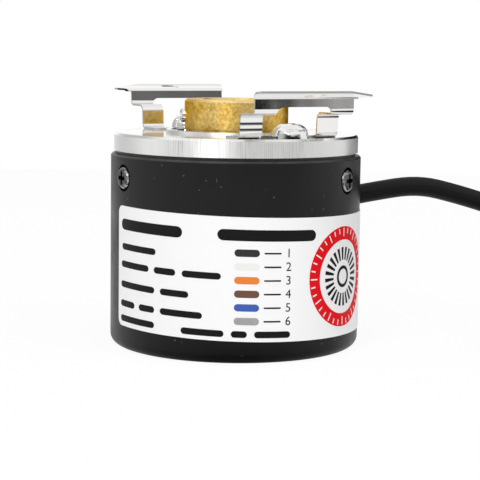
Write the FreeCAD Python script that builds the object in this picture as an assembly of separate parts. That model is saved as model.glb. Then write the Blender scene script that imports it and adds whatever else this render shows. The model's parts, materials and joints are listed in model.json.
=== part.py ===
# Hollow shaft rotary encoder with a 40 mm body and a 10 mm through bore.
# Millimetres. The origin is on the shaft axis at the cover's underside, and +Z runs along the
# shaft to the mounting side. Azimuths are degrees about +Z, counted from +X.
import FreeCAD, Part
import math
import os

Vec = FreeCAD.Vector
ORIGIN = Vec(0, 0, 0)
UP = Vec(0, 0, 1)
OUT = Vec(1, 0, 0)

# How far a cutting tool runs past what it cuts
overshoot = 1.0

# Cover
cover_radius = 20.0
cover_height = 31.0
cover_wall = 2.0
cover_floor = 2.0
cover_edge_radius = 1.55
cover_rim_chamfer = 0.3
cover_rebate_height = 0.5
cover_rebate_depth = 0.9
cover_screw_azimuths = (-150, -30, 90)
cover_screw_drop = 3.9
cover_screw_radius = 0.95
cover_screw_head_radius = 1.75
cover_screw_head_height = 1.35
cover_screw_head_edge = 0.6
cover_screw_stand = 0.35
cover_recess_clearance = 0.35
cover_screw_length = 3.0
cover_cross_half_length = 1.05
cover_cross_width = 0.6

# Label on the cover
label_left = -153.9
label_right = 4.0
label_bottom = 3.6
label_height = 18.75
label_tilt = 1.6
label_thickness = 0.1
label_corner_radius = 1.2

# Flange
flange_step_width = 0.5
flange_thickness = 2.8
flange_chamfer_height = 0.36
flange_chamfer_width = 0.3
rim_wall = 0.68
rim_height = 0.5
plug_depth = 2.0
boss_share = 0.227  # of the room between the bearing and the cover
lug_thickness = 2.35
lug_half_angle = 14.0
lug_below_screw = 2.6
fit_clearance = 0.05

# Hollow shaft
bore_radius = 5.0
hub_radius = 8.3
hub_height = 4.65
hub_gap = 0.2
hub_chamfer = 0.35
bore_chamfer = 0.4
collar_wall = 0.6
tail_radius = 6.6
tail_recess = 0.4
set_screw_azimuths = (180, 90)
set_screw_radius = 1.25
set_screw_length = 4.0
set_screw_tip_gap = 0.05
set_screw_drop = 2.65
set_screw_socket_radius = 0.75
set_screw_socket_depth = 1.5
set_screw_chamfer = 0.4

# Bearings, both the same size
bearing_bore_radius = 7.5
bearing_section = 3.0
bearing_width = 4.0
bearing_recess = 0.2
ball_radius = 0.75
race_half_gap = 0.6
race_clearance = 0.1
spacer_step = 0.15
ball_count = 9
cage_half_height = 1.2
cage_half_width = 0.3
seat_clearance = 0.02
washer_gap = 0.6
washer_thickness = 0.2
washer_waves = 3
washer_points_per_wave = 8
ring_thickness = 0.9
ring_groove = 0.45
ring_reach = 1.2
ring_opening = 36.0
land_below_ring = 0.8

# Code disc and its hub
disc_share = 0.5965  # of the room between the shaft's tail and the cover
disc_thickness = 0.6
disc_drop = 3.2
disc_hub_wall = 1.4
disc_hub_length = 5.0
disc_hub_flange_width = 1.5
disc_hub_flange_thickness = 1.0
disc_retainer_thickness = 0.6
disc_screw_radius = 0.9
disc_screw_drop = 1.1
disc_screw_azimuth = 60

# Circuit board
pcb_lift = 6.0
pcb_thickness = 1.6
pcb_edge_gap = 0.6
pcb_hole_gap = 1.0
disc_above_pcb = 4.0
post_azimuths = (45, 165, 285)
post_radius = 1.6
post_screw_radius = 0.95
post_screw_reach = 3.5
post_head_radius = 1.75
post_head_height = 1.3
post_stud_length = 1.8
thread_clearance = 0.05
capacitor_azimuths = (100, 122)
capacitor_radius = 2.0
capacitor_floor_gap = 1.8
driver_azimuths = (110, 330)
driver_half_depth = 2.6
driver_half_width = 2.0
resistor_azimuths = (75, 265)
resistor_half_depth = 1.2
resistor_half_width = 0.9
chip_height = 1.5

# Optical head
optics_azimuth = 230
optics_inset = 1.2
holder_half_width = 3.0
holder_foot_depth = 3.0
holder_wall_gap = 0.5
holder_arm_gap = 1.3
holder_arm_height = 2.1
led_radius = 1.2
led_gap = 0.35
led_length = 2.4
detector_half_depth = 1.6
detector_half_width = 2.2
mask_half_depth = 1.3
mask_half_width = 1.5
mask_thickness = 0.6
mask_gap = 0.4

# Cable entry
cable_radius = 1.6
exit_azimuth = 14.5
exit_drop = 7.45
exit_tilt = 10.0
grommet_wall = 1.0
grommet_collar_reach = 1.0
grommet_collar_depth = 0.8
strain_collar_wall = 0.9
strain_collar_length = 0.8
jacket_inside = 0.2
core_radius = 0.4
core_circle = 0.85
core_slots = (2.5, 0.5, -0.5, -2.5, -1.5, 1.5)
core_drop_gap = 1.1
connector_half_width = 4.5
connector_depth = 2.7
connector_height = 4.2
connector_pitch = 1.25
core_target_lift = 1.8

# Spring brackets
arm_azimuths = {"right_bracket": -60, "left_bracket": 120}
band_leans = {"right_bracket": 0.0, "left_bracket": 4.5}  # the left one is sprung outwards
ear_tilts = {"right_bracket": 9.0, "left_bracket": 6.5}
sheet_thickness = 0.3
foot_bend_radius = 0.75
leg_bend_radius = 1.0
shelf_bend_radius = 0.75
ear_bend_radius = 0.3
foot_inner_gap = 0.7
low_leg_depth = 3.4
low_leg_lean = 3.5
high_leg_gap = 0.3
arm_half_width = 8.69
window_half_width = 4.88
window_corner_radius = 1.2
shelf_height = 3.8
band_height = 4.85
ear_root_height = 6.3
ear_length = 5.7
ear_flare_width = 3.2
ear_front_half_width = 4.5
ear_tip_length = 1.4
ear_tip_width = 2.8
ear_corner_radius = 0.8
ear_tip_radius = 0.4
mount_hole_distance = 3.0
mount_hole_radius = 1.6
bracket_screw_gap = 0.1
bracket_screw_radius = 1.5
bracket_screw_hole_gap = 0.1
bracket_screw_length = 4.0
bracket_head_radius = 2.8
bracket_head_height = 1.9
bracket_head_edge = 1.8
tongue_margin = 0.1
cross_width = 0.75
cross_half_length = 1.5
cross_depth = 0.8

# Rear seal
seal_gap = 0.15
seal_wall = 2.45
seal_thickness = 1.4
floor_hole_gap = 0.8

# Cable outside the cover. The last point lies inside the coil, where the cable joins its top turn.
exit_run = 3.5
bend_share = 0.45
cable_route = [
    (30.2, 7.8, 25.2),
    (36.8, 9.5, 23.6),
    (44.4, 11.6, 21.2),
    (52.4, 13.9, 18.0),
    (60.6, 16.1, 14.6),
    (69.0, 17.2, 11.4),
    (76.8, 15.4, 8.6),
    (83.0, 10.8, 6.6),
    (87.4, 4.4, 5.3),
]
coil_centre_x = 66.5
coil_centre_y = -7.0
coil_mean_radius = 17.5
coil_turns_per_layer = 4
coil_layers = 2
tie_azimuths = (-75, 135)
tie_thickness = 0.5
tie_width = 3.0
tie_corner = 0.5
tail_azimuth = 15
tail_length = 22.0
tail_sway = 0.8
lead_colours = ("black", "white", "orange", "brown", "blue", "shield")
lead_radius = 0.42
lead_circle = 0.9
lead_spread = 3.0
lead_slots = (2.5, 1.5, -1.5, -2.5, -0.5, 0.5)
lead_run = 6.0
lead_fan = ((0, 0), (0, 0), (0.3, 0.6), (0.62, 1), (1, 1))  # shares of spread and drop, run by run
tip_radius = 0.3
tip_length = 4.0

# Heights and radii that follow from the sizes above
inner_radius = cover_radius - cover_wall
flange_radius = cover_radius - flange_step_width
flange_top = cover_height + flange_thickness
low_leg_distance = flange_radius - low_leg_depth
high_leg_distance = cover_radius + high_leg_gap
bracket_screw_distance = low_leg_distance + bracket_screw_gap
leg_lean_shift = shelf_height / 2 * math.tan(math.radians(low_leg_lean))
foot_end = low_leg_distance - leg_lean_shift - foot_bend_radius
mount_circle_radius = cover_radius + mount_hole_distance
rim_top = flange_top + rim_height
hub_bottom = rim_top + hub_gap
hub_top = hub_bottom + hub_height
set_screw_height = hub_top - set_screw_drop
spigot_radius = inner_radius - fit_clearance
plug_bottom = cover_height - plug_depth
cover_screw_height = cover_height - cover_screw_drop
pcb_bottom = cover_floor + pcb_lift
pcb_top = pcb_bottom + pcb_thickness
pcb_radius = inner_radius - pcb_edge_gap
disc_top = pcb_top + disc_above_pcb
disc_bottom = disc_top - disc_thickness
land_bottom = disc_top + disc_drop
disc_screw_height = land_bottom - disc_screw_drop
ring_bottom = land_bottom + land_below_ring
rear_bearing_bottom = ring_bottom + ring_thickness
rear_bearing_top = rear_bearing_bottom + bearing_width
shoulder_bottom = rear_bearing_top + washer_gap
front_bearing_top = rim_top - bearing_recess
front_bearing_bottom = front_bearing_top - bearing_width
bearing_outer_radius = bearing_bore_radius + bearing_section
seat_radius = bearing_outer_radius + seat_clearance
rim_radius = seat_radius + rim_wall
land_radius = bearing_bore_radius - seat_clearance
race_wall = bearing_section / 2 - race_half_gap
spacer_radius = bearing_bore_radius + race_wall - spacer_step
collar_radius = bearing_bore_radius + collar_wall
shoulder_radius = bearing_outer_radius - race_wall
boss_radius = bearing_outer_radius + boss_share * (inner_radius - bearing_outer_radius)
ball_circle = (bearing_bore_radius + bearing_outer_radius) / 2
groove_radius = ball_radius + race_clearance
disc_hub_radius = tail_radius + disc_hub_wall
disc_hub_flange_radius = disc_hub_radius + disc_hub_flange_width
post_circle = (boss_radius + inner_radius) / 2
disc_radius = tail_radius + disc_share * (inner_radius - tail_radius)
optics_radius = disc_radius - optics_inset
holder_inner = disc_radius + holder_wall_gap
exit_height = cover_height - exit_drop
collar_face = spigot_radius - grommet_collar_depth - cover_radius
jacket_end = collar_face - strain_collar_length - jacket_inside
coil_centre = Vec(coil_centre_x, coil_centre_y, 0)
coil_pitch = 2 * cable_radius
coil_half_band = coil_turns_per_layer * coil_pitch / 2 + cable_radius
coil_bottom = tie_thickness
coil_top = coil_bottom + coil_layers * coil_pitch


def turned(profile, first_corner=0, angle=360):
    """A solid of revolution about the shaft axis, from (radius, height) corners."""
    radii = [first_corner] + [0] * (len(profile) - 1)
    wire = Part.Wire(rounded_edges([Vec(r, 0, z) for r, z in profile], radii, closed=True))
    return Part.Face(wire).revolve(ORIGIN, UP, angle)


def sleeve(inner, outer, bottom, top):
    return turned([(inner, bottom), (outer, bottom), (outer, top), (inner, top)])


def at_azimuth(shape, azimuth):
    return shape.rotated(ORIGIN, UP, azimuth)


def rod(radius, bottom, top, distance=0.0, azimuth=0.0):
    """An upright cylinder at a distance from the shaft axis."""
    return at_azimuth(Part.makeCylinder(radius, top - bottom, Vec(distance, 0, bottom)), azimuth)


def spoke(radius, start, end, azimuth, height):
    """A cylinder that points away from the shaft axis."""
    return at_azimuth(Part.makeCylinder(radius, end - start, Vec(start, 0, height), OUT), azimuth)


def exit_point(along, across=0.0, rise=0.0):
    """A point on the cable's slanted way out, counted along it from the cover's outer face."""
    tilt = math.radians(exit_tilt)
    distance = cover_radius + along * math.cos(tilt) - rise * math.sin(tilt)
    height = exit_height + along * math.sin(tilt) + rise * math.cos(tilt)
    turn = math.radians(exit_azimuth)
    return Vec(distance * math.cos(turn) - across * math.sin(turn),
               distance * math.sin(turn) + across * math.cos(turn), height)


def exit_rod(radius, start, end):
    """A cylinder along the cable's slanted way out."""
    return Part.makeCylinder(radius, end - start, exit_point(start), exit_point(end) - exit_point(start))


def block(inner, outer, half_width, bottom, top, azimuth=0.0):
    box = Part.makeBox(outer - inner, 2 * half_width, top - bottom, Vec(inner, -half_width, bottom))
    return at_azimuth(box, azimuth)


def rounded_edges(points, radii, closed=False):
    """Straight edges between the points, joined by tangent arcs; radius 0 leaves a corner sharp."""
    count = len(points)
    spans = []
    for i, here in enumerate(points):
        if radii[i] == 0:
            spans.append((here, None, here))
            continue
        back = (points[i - 1] - here).normalize()
        ahead = (points[(i + 1) % count] - here).normalize()
        half = back.getAngle(ahead) / 2
        inward = (back + ahead).normalize()
        trim = radii[i] / math.tan(half)
        middle = here + inward * (radii[i] / math.sin(half) - radii[i])
        spans.append((here + back * trim, middle, here + ahead * trim))
    edges = []
    for i, (start, middle, end) in enumerate(spans):
        if middle is not None:
            edges.append(Part.Arc(start, middle, end).toShape())
        if i + 1 < count or closed:
            edges.append(Part.LineSegment(end, spans[(i + 1) % count][0]).toShape())
    return edges


def prism(points, radii, bottom, top):
    """An upright solid on a plan outline with rounded corners."""
    wire = Part.Wire(rounded_edges([Vec(x, y, bottom) for x, y in points], radii, closed=True))
    return Part.Face(wire).extrude(Vec(0, 0, top - bottom))


def cord_radii(points):
    """The largest even bend at each point of a cord's route."""
    radii = [0.0] * len(points)
    for i in range(1, len(points) - 1):
        back = points[i - 1] - points[i]
        ahead = points[i + 1] - points[i]
        half_turn = (math.pi - back.getAngle(ahead)) / 2
        radii[i] = bend_share * min(back.Length, ahead.Length) / math.tan(half_turn)
    return radii


def tube_along(points, radius):
    """A round solid along a route of straight runs and tangent arcs."""
    path = Part.Wire(rounded_edges(points, cord_radii(points)))
    ring = Part.Wire(Part.makeCircle(radius, points[0], points[1] - points[0]))
    return path.makePipeShell([ring], True, False)


def cross_recess(depth_from, depth_to, half_length, width):
    """Two crossed bars along Z, the recess of a cross-head screw."""
    bars = []
    for along, across in ((half_length, width / 2), (width / 2, half_length)):
        corner = Vec(-along, -across, depth_from)
        bars.append(Part.makeBox(2 * along, 2 * across, depth_to - depth_from, corner))
    return bars[0].fuse(bars[1])


def rear_cover():
    floor_hole = tail_radius + floor_hole_gap
    shoulder = cover_height - cover_rebate_height
    lip_radius = cover_radius - cover_rebate_depth
    cover = turned([
        (cover_radius, 0), (cover_radius, shoulder - cover_rim_chamfer),
        (cover_radius - cover_rim_chamfer, shoulder), (lip_radius, shoulder),
        (lip_radius, cover_height), (inner_radius, cover_height),
        (inner_radius, cover_floor), (floor_hole, cover_floor), (floor_hole, 0),
    ], first_corner=cover_edge_radius)
    head_seat = cover_radius + cover_screw_stand - cover_screw_head_height
    recess = cover_screw_head_radius + cover_recess_clearance
    hole = cover_screw_radius + thread_clearance
    for azimuth in cover_screw_azimuths:
        cover = cover.cut(spoke(recess, head_seat, cover_radius + overshoot, azimuth, cover_screw_height))
        cover = cover.cut(spoke(hole, inner_radius - overshoot, head_seat, azimuth, cover_screw_height))
    return cover.cut(exit_rod(cable_radius + grommet_wall, -2 * cover_wall, cover_wall))


def cover_screws():
    face = cover_radius + cover_screw_stand
    seat = face - cover_screw_head_height
    screws = []
    height = cover_screw_height
    for azimuth in cover_screw_azimuths:
        head = spoke(cover_screw_head_radius, seat, face, 0, height)
        rim = [e for e in head.Edges if len(e.Vertexes) == 1 and e.CenterOfMass.x > seat + fit_clearance]
        head = head.makeFillet(cover_screw_head_edge, rim)
        shank = spoke(cover_screw_radius, inner_radius - cover_screw_length, seat, 0, height)
        cross = cross_recess(-cross_depth, overshoot, cover_cross_half_length, cover_cross_width)
        cross = cross.rotated(ORIGIN, Vec(0, 1, 0), 90).translated(Vec(face, 0, height))
        screws.append(at_azimuth(head.fuse(shank).removeSplitter().cut(cross), azimuth))
    return Part.Compound(screws)


def side_label():
    middle = label_bottom + label_height / 2
    reach = cover_radius + label_thickness
    section = [(cover_radius, 0), (reach, 0), (reach, cover_height), (cover_radius, cover_height)]
    band = at_azimuth(turned(section, angle=label_right - label_left), label_left)
    slab = Part.makeBox(4 * reach, 4 * reach, label_height, Vec(-2 * reach, -2 * reach, label_bottom))
    label = band.common(slab.rotated(Vec(0, 0, middle), Vec(0, 1, 0), label_tilt))
    corners = [e for e in label.Edges if e.Length < 2 * label_thickness]
    return label.makeFillet(label_corner_radius, corners)


def front_flange():
    flange = turned([
        (seat_radius, ring_bottom), (boss_radius, ring_bottom), (boss_radius, plug_bottom),
        (spigot_radius, plug_bottom), (spigot_radius, cover_height), (flange_radius, cover_height),
        (flange_radius, flange_top - flange_chamfer_height),
        (flange_radius - flange_chamfer_width, flange_top), (rim_radius, flange_top),
        (rim_radius, rim_top), (seat_radius, rim_top),
        (seat_radius, front_bearing_bottom), (shoulder_radius, front_bearing_bottom),
        (shoulder_radius, shoulder_bottom), (seat_radius, shoulder_bottom),
    ])
    lug_inner = spigot_radius - lug_thickness
    lug_bottom = cover_screw_height - lug_below_screw
    for azimuth in cover_screw_azimuths:
        section = [(lug_inner, lug_bottom), (spigot_radius, lug_bottom),
                   (spigot_radius, plug_bottom), (lug_inner, plug_bottom)]
        lug = turned(section, angle=2 * lug_half_angle)
        flange = flange.fuse(at_azimuth(lug, azimuth - lug_half_angle))
        hole = spoke(cover_screw_radius + thread_clearance, lug_inner - overshoot,
                     spigot_radius + overshoot, azimuth, cover_screw_height)
        flange = flange.cut(hole)
    for azimuth in post_azimuths:
        hole = post_screw_radius + thread_clearance
        flange = flange.cut(rod(hole, plug_bottom, plug_bottom + post_stud_length, post_circle, azimuth))
    for azimuth in arm_azimuths.values():
        hole = bracket_screw_radius + thread_clearance
        bottom = flange_top + sheet_thickness - bracket_screw_length - 2 * thread_clearance
        flange = flange.cut(rod(hole, bottom, flange_top, bracket_screw_distance, azimuth))
    return flange.removeSplitter()


def hollow_shaft():
    groove = land_radius - ring_groove
    shaft = turned([
        (bore_radius + bore_chamfer, tail_recess), (tail_radius, tail_recess), (tail_radius, land_bottom),
        (land_radius, land_bottom), (land_radius, ring_bottom), (groove, ring_bottom),
        (groove, rear_bearing_bottom), (land_radius, rear_bearing_bottom), (land_radius, front_bearing_top),
        (collar_radius, front_bearing_top), (collar_radius, hub_bottom), (hub_radius, hub_bottom),
        (hub_radius, hub_top - hub_chamfer), (hub_radius - hub_chamfer, hub_top),
        (bore_radius + bore_chamfer, hub_top), (bore_radius, hub_top - bore_chamfer),
        (bore_radius, tail_recess + bore_chamfer),
    ])
    for azimuth in set_screw_azimuths:
        shaft = shaft.cut(spoke(set_screw_radius, bore_radius - overshoot, hub_radius + overshoot,
                                azimuth, set_screw_height))
    return shaft


def set_screws():
    start = bore_radius + set_screw_tip_gap
    end = start + set_screw_length
    height = set_screw_height
    screws = []
    for azimuth in set_screw_azimuths:
        radius = set_screw_radius - thread_clearance
        shoulder = end - set_screw_chamfer
        body = spoke(radius, start, shoulder, azimuth, height)
        nose = Part.makeCone(radius, radius - set_screw_chamfer, set_screw_chamfer,
                             Vec(shoulder, 0, height), OUT)
        body = body.fuse(at_azimuth(nose, azimuth))
        hexagon = []
        for corner in range(7):
            turn = math.radians(60 * corner)
            hexagon.append(Vec(end - set_screw_socket_depth, set_screw_socket_radius * math.cos(turn),
                               height + set_screw_socket_radius * math.sin(turn)))
        socket = Part.Face(Part.makePolygon(hexagon)).extrude(OUT * set_screw_socket_depth)
        screws.append(body.cut(at_azimuth(socket, azimuth)))
    return Part.Compound(screws)


def race_groove(bottom):
    return Part.makeTorus(ball_circle, groove_radius, Vec(0, 0, bottom + bearing_width / 2))


def inner_ring(bottom):
    ring = sleeve(bearing_bore_radius, bearing_bore_radius + race_wall, bottom, bottom + bearing_width)
    return ring.cut(race_groove(bottom))


def outer_ring(bottom):
    ring = sleeve(bearing_outer_radius - race_wall, bearing_outer_radius, bottom, bottom + bearing_width)
    return ring.cut(race_groove(bottom))


def ball_azimuths():
    return [360.0 * i / ball_count for i in range(ball_count)]


def balls(bottom):
    ball = Part.makeSphere(ball_radius, Vec(ball_circle, 0, bottom + bearing_width / 2))
    return Part.Compound([at_azimuth(ball, azimuth) for azimuth in ball_azimuths()])


def ball_cage(bottom):
    middle = bottom + bearing_width / 2
    cage = sleeve(ball_circle - cage_half_width, ball_circle + cage_half_width,
                  middle - cage_half_height, middle + cage_half_height)
    for azimuth in ball_azimuths():
        cage = cage.cut(spoke(groove_radius, bearing_bore_radius, bearing_outer_radius, azimuth, middle))
    return cage


def wave_washer():
    """A thin ring with even waves, pressed between the shoulder and the rear outer ring."""
    swing = (washer_gap - washer_thickness) / 2 - seat_clearance
    count = washer_points_per_wave * washer_waves
    rims = []
    for radius in (shoulder_radius + fit_clearance, seat_radius - fit_clearance):
        points = []
        for i in range(count):
            turn = 2 * math.pi * i / count
            height = rear_bearing_top + seat_clearance + swing * (1 + math.cos(washer_waves * turn))
            points.append(Vec(radius * math.cos(turn), radius * math.sin(turn), height))
        rim = Part.BSplineCurve()
        rim.interpolate(points, PeriodicFlag=True)
        rims.append(rim.toShape())
    return Part.makeRuledSurface(rims[0], rims[1]).extrude(UP * washer_thickness)


def retaining_ring():
    inner = land_radius - ring_groove + seat_clearance
    ring = sleeve(inner, land_radius + ring_reach, ring_bottom, rear_bearing_bottom)
    mouth = 2 * bearing_outer_radius * math.tan(math.radians(ring_opening / 2))
    return ring.cut(block(0, 2 * bearing_outer_radius, mouth / 2, ring_bottom - overshoot,
                          rear_bearing_bottom + overshoot))


def disc_hub():
    bottom = land_bottom - disc_hub_length
    outer = disc_hub_radius
    inner = tail_radius + seat_clearance
    hub = turned([
        (inner, bottom), (outer, bottom), (outer, disc_top), (disc_hub_flange_radius, disc_top),
        (disc_hub_flange_radius, disc_top + disc_hub_flange_thickness),
        (outer, disc_top + disc_hub_flange_thickness), (outer, land_bottom), (inner, land_bottom),
    ])
    return hub.cut(spoke(disc_screw_radius, inner - overshoot, outer + overshoot,
                         disc_screw_azimuth, disc_screw_height))


def disc_hub_screw():
    inner = tail_radius + seat_clearance
    outer = disc_hub_radius
    return spoke(disc_screw_radius - fit_clearance, inner, outer, disc_screw_azimuth, disc_screw_height)


def code_disc():
    return sleeve(disc_hub_radius + fit_clearance, disc_radius, disc_bottom, disc_top)


def disc_retainer():
    inner = disc_hub_radius + fit_clearance
    return sleeve(inner, disc_hub_flange_radius, disc_bottom - disc_retainer_thickness, disc_bottom)


def pcb():
    board = sleeve(tail_radius + pcb_hole_gap, pcb_radius, pcb_bottom, pcb_top)
    for azimuth in post_azimuths:
        hole = post_screw_radius + thread_clearance
        board = board.cut(rod(hole, pcb_bottom - overshoot, pcb_top + overshoot, post_circle, azimuth))
    return board


def pcb_standoffs():
    posts = []
    for azimuth in post_azimuths:
        post = rod(post_radius, pcb_top, plug_bottom, post_circle, azimuth)
        stud_top = plug_bottom + post_stud_length - fit_clearance
        stud = rod(post_screw_radius, plug_bottom, stud_top, post_circle, azimuth)
        hole_top = pcb_top + post_screw_reach + fit_clearance
        hole = rod(post_screw_radius + thread_clearance, pcb_top, hole_top, post_circle, azimuth)
        posts.append(post.fuse(stud).cut(hole))
    return Part.Compound(posts)


def pcb_screws():
    screws = []
    for azimuth in post_azimuths:
        head = rod(post_head_radius, pcb_bottom - post_head_height, pcb_bottom, post_circle, azimuth)
        shank = rod(post_screw_radius, pcb_bottom, pcb_top + post_screw_reach, post_circle, azimuth)
        screws.append(head.fuse(shank))
    return Part.Compound(screws)


def pcb_components():
    top = pcb_top + chip_height
    chips = []
    for azimuths, half_depth, half_width in (
            (driver_azimuths, driver_half_depth, driver_half_width),
            (resistor_azimuths, resistor_half_depth, resistor_half_width)):
        inner = optics_radius - half_depth
        outer = optics_radius + half_depth
        chips += [block(inner, outer, half_width, pcb_top, top, azimuth) for azimuth in azimuths]
    return Part.Compound(chips)


def capacitors():
    bottom = cover_floor + capacitor_floor_gap
    return Part.Compound([rod(capacitor_radius, bottom, pcb_bottom, optics_radius, azimuth)
                          for azimuth in capacitor_azimuths])


def led_holder():
    arm_bottom = disc_top + holder_arm_gap
    arm_top = arm_bottom + holder_arm_height
    foot = block(holder_inner, holder_inner + holder_foot_depth, holder_half_width,
                 pcb_top, arm_top, optics_azimuth)
    arm_inner = optics_radius - led_radius - holder_wall_gap / 2
    arm = block(arm_inner, holder_inner, holder_half_width, arm_bottom, arm_top, optics_azimuth)
    hole = rod(led_radius + fit_clearance, disc_top, arm_top + overshoot, optics_radius, optics_azimuth)
    return foot.fuse(arm).removeSplitter().cut(hole)


def led():
    bottom = disc_top + led_gap
    return rod(led_radius, bottom, bottom + led_length, optics_radius, optics_azimuth)


def photodetector():
    top = disc_bottom - mask_gap - mask_thickness
    return block(optics_radius - detector_half_depth, optics_radius + detector_half_depth,
                 detector_half_width, pcb_top, top, optics_azimuth)


def phase_mask():
    top = disc_bottom - mask_gap
    return block(optics_radius - mask_half_depth, optics_radius + mask_half_depth,
                 mask_half_width, top - mask_thickness, top, optics_azimuth)


def rear_seal():
    inner = tail_radius + seal_gap
    return sleeve(inner, inner + seal_wall, cover_floor, cover_floor + seal_thickness)


def cable_grommet():
    body = exit_rod(cable_radius + grommet_wall - fit_clearance, collar_face, cover_wall)
    collar = exit_rod(cable_radius + grommet_wall + grommet_collar_reach, collar_face, 0)
    body = body.common(rod(cover_radius, 0, cover_height))
    collar = collar.common(rod(inner_radius - fit_clearance, 0, cover_height))
    return body.fuse(collar).cut(exit_rod(cable_radius, collar_face - overshoot, cover_wall))


def strain_collar():
    back = collar_face - strain_collar_length
    outer = exit_rod(cable_radius + strain_collar_wall, back, collar_face)
    return outer.cut(exit_rod(cable_radius, back - overshoot, collar_face + overshoot))


def connector():
    return block(holder_inner, holder_inner + connector_depth, connector_half_width,
                 pcb_top, pcb_top + connector_height, exit_azimuth)


def inner_wires():
    """Six cores that turn down from the jacket's end to the connector, keeping their ring's order."""
    target = holder_inner + connector_depth / 2
    top = pcb_top + connector_height
    wires = []
    for index, slot in enumerate(core_slots):
        turn = 2 * math.pi * index / len(core_slots)
        across = core_circle * math.cos(turn)
        rise = core_circle * math.sin(turn)
        place = slot * connector_pitch
        ends = [Vec(target, place, top + core_target_lift), Vec(target, place, top)]
        turn_axis = FreeCAD.Rotation(UP, exit_azimuth)
        bend = jacket_end - core_drop_gap - rise
        points = [exit_point(jacket_end, across, rise), exit_point(bend, across, rise)]
        points += [turn_axis.multVec(p) for p in ends]
        wires.append(tube_along(points, core_radius))
    return Part.Compound(wires)


def sheet_outline(centre, bends, thickness):
    """The edge-on outline of a bent sheet, from its centre line (distance, height) and bend radii."""
    points = [Vec(a, 0, z) for a, z in centre]
    sides = {1: [], -1: []}
    radii = {1: [], -1: []}
    for i, here in enumerate(points):
        before = (here - points[i - 1]).normalize() if i else (points[1] - here).normalize()
        after = (points[i + 1] - here).normalize() if i + 1 < len(points) else before
        normals = [Vec(-d.z, 0, d.x) for d in (before, after)]
        mitre = (normals[0] + normals[1]).normalize()
        reach = thickness / 2 / mitre.dot(normals[0])
        turn = before.x * after.z - before.z * after.x
        for side in (1, -1):
            sides[side].append(here + mitre * (side * reach))
            inside = turn * side > 0
            bend = bends[i] - thickness / 2 if inside else bends[i] + thickness / 2
            radii[side].append(bend if bends[i] else 0)
    left = rounded_edges(sides[1], radii[1])
    right = rounded_edges(sides[-1], radii[-1])
    caps = [Part.LineSegment(sides[1][i], sides[-1][i]).toShape() for i in (0, -1)]
    return Part.Face(Part.Wire(Part.__sortEdges__(left + right + caps)))


def bracket(name):
    """One spring bracket: foot and tongue on the flange, two stepped legs, band and tilted ear."""
    azimuth = arm_azimuths[name]
    lean = math.tan(math.radians(band_leans[name]))
    tilt = math.tan(math.radians(ear_tilts[name]))
    foot_height = flange_top + sheet_thickness / 2
    shelf = flange_top + shelf_height
    root = flange_top + ear_root_height
    ear_end = high_leg_distance + ear_length
    centre = [
        (rim_radius + foot_inner_gap, foot_height), (low_leg_distance - leg_lean_shift, foot_height),
        (low_leg_distance + leg_lean_shift, shelf), (high_leg_distance, shelf),
        (high_leg_distance + (root - shelf) * lean, root),
        (ear_end + overshoot, root + (ear_length + overshoot) * tilt),
    ]
    wide = arm_half_width + ear_tip_width + overshoot
    bends = [0, foot_bend_radius, leg_bend_radius, shelf_bend_radius, ear_bend_radius, 0]
    sheet = sheet_outline(centre, bends, sheet_thickness).extrude(Vec(0, 2 * wide, 0))
    sheet = sheet.translated(Vec(0, -wide, 0))
    top = root + ear_length
    legs = block(rim_radius, high_leg_distance + 2 * sheet_thickness, arm_half_width, flange_top, top)
    ear_start = high_leg_distance - sheet_thickness
    ear_plan = [
        (ear_start, -arm_half_width), (ear_end, -arm_half_width - ear_flare_width),
        (ear_end, ear_front_half_width),
        (high_leg_distance + ear_tip_length, arm_half_width + ear_tip_width), (ear_start, arm_half_width),
    ]
    ear_radii = [0, ear_corner_radius, ear_corner_radius, ear_tip_radius, 0]
    ear = prism(ear_plan, ear_radii, root - ear_bend_radius, top)
    sheet = sheet.common(legs.fuse(ear))
    sheet = sheet.cut(leg_window())
    tongue_radius = bracket_head_radius + tongue_margin
    foot_top = flange_top + sheet_thickness
    tongue = block(foot_end - overshoot, bracket_screw_distance, tongue_radius, flange_top, foot_top)
    tongue = tongue.fuse(rod(tongue_radius, flange_top, foot_top, bracket_screw_distance))
    sheet = sheet.fuse(tongue)
    hole = bracket_screw_radius + bracket_screw_hole_gap
    sheet = sheet.cut(rod(hole, flange_top - overshoot, shelf, bracket_screw_distance))
    sheet = sheet.cut(rod(mount_hole_radius, root - overshoot, top + overshoot, mount_circle_radius))
    return at_azimuth(sheet.removeSplitter(), azimuth)


def leg_window():
    """The opening between a bracket's legs, with rounded upper corners."""
    bottom = flange_top
    top = flange_top + band_height
    outline = [(-window_half_width, bottom), (window_half_width, bottom),
               (window_half_width, top), (-window_half_width, top)]
    points = [Vec(foot_end, t, z) for t, z in outline]
    wire = Part.Wire(rounded_edges(points, [0, 0, window_corner_radius, window_corner_radius], closed=True))
    return Part.Face(wire).extrude(OUT * (high_leg_distance - foot_end + overshoot))


def bracket_screws():
    bottom = flange_top + sheet_thickness
    top = bottom + bracket_head_height
    screws = []
    for azimuth in arm_azimuths.values():
        head = rod(bracket_head_radius, bottom, top, bracket_screw_distance)
        rim = [e for e in head.Edges if len(e.Vertexes) == 1 and e.CenterOfMass.z > bottom]
        head = head.makeFillet(bracket_head_edge, rim)
        cross = cross_recess(top - cross_depth, top + overshoot, cross_half_length, cross_width)
        head = head.cut(cross.translated(Vec(bracket_screw_distance, 0, 0)))
        shank = rod(bracket_screw_radius, bottom - bracket_screw_length, bottom, bracket_screw_distance)
        screws.append(at_azimuth(head.fuse(shank), azimuth))
    return Part.Compound(screws)


def cable_coil():
    outer = coil_mean_radius + coil_half_band
    inner = coil_mean_radius - coil_half_band
    return sleeve(inner, outer, coil_bottom, coil_top).translated(coil_centre)


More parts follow.
